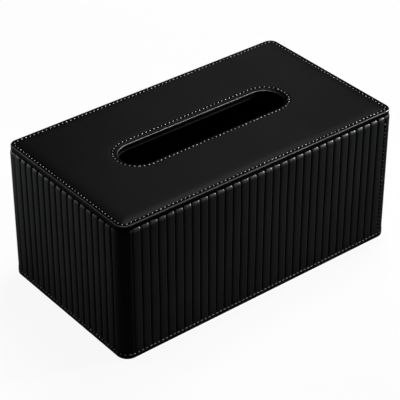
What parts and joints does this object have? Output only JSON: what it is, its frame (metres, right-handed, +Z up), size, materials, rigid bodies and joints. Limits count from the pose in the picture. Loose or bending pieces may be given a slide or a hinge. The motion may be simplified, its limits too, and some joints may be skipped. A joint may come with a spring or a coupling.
{
  "type": "tissue box cover",
  "caption": "Rectangular tissue box cover: ribbed leather over a wooden box, padded lid plate with an oval slot, and a hinged base flap held shut by magnets.",
  "frame": {"origin": "middle of the footprint, on the surface that the cover stands on", "axes": "+Z up, +X along the long side, -Y towards the front, where the base flap opens; its hinge is at +Y"},
  "size_m": [0.25, 0.1394, 0.112],
  "materials": {
    "leather": "satin, fine grain",
    "foam": "open-cell foam",
    "board": "bare fibreboard",
    "lining": "napped cloth",
    "thread": "twisted sewing thread",
    "magnet": "nickel plated",
    "ribbon": "woven ribbon"
  },
  "bodies": {
    "cover": {"side_wrap": "leather", "seam_stitching": "thread", "hem_stitching": "thread", "front_padding": "foam", "back_padding": "foam", "left_padding": "foam", "right_padding": "foam", "front_board": "board", "back_board": "board", "left_board": "board", "right_board": "board", "front_left_post": "board", "front_right_post": "board", "back_left_post": "board", "back_right_post": "board", "front_lining": "lining", "back_lining": "lining", "left_lining": "lining", "right_lining": "lining", "lid_cover": "leather", "lid_stitching": "thread", "lid_foam": "foam", "lid_board": "board", "lid_lining": "lining", "slot_band": "leather", "slot_stitching": "thread", "ledge": "board", "ledge_magnet_left": "magnet", "ledge_magnet_right": "magnet", "hinge_strip": "leather"},
    "base_flap": {"flap_cover": "leather", "flap_board": "board", "flap_lining": "lining", "pull_tab": "ribbon", "flap_magnet_left": "magnet", "flap_magnet_right": "magnet"}
  },
  "joints": [
    {"name": "flap_hinge", "type": "hinge", "parent": "cover", "child": "base_flap", "pos_m": [0, 0.06305, 0.00055], "axis": [1, 0, 0], "range_deg": [0, 110], "deforming": ["hinge_strip"]}
  ]
}
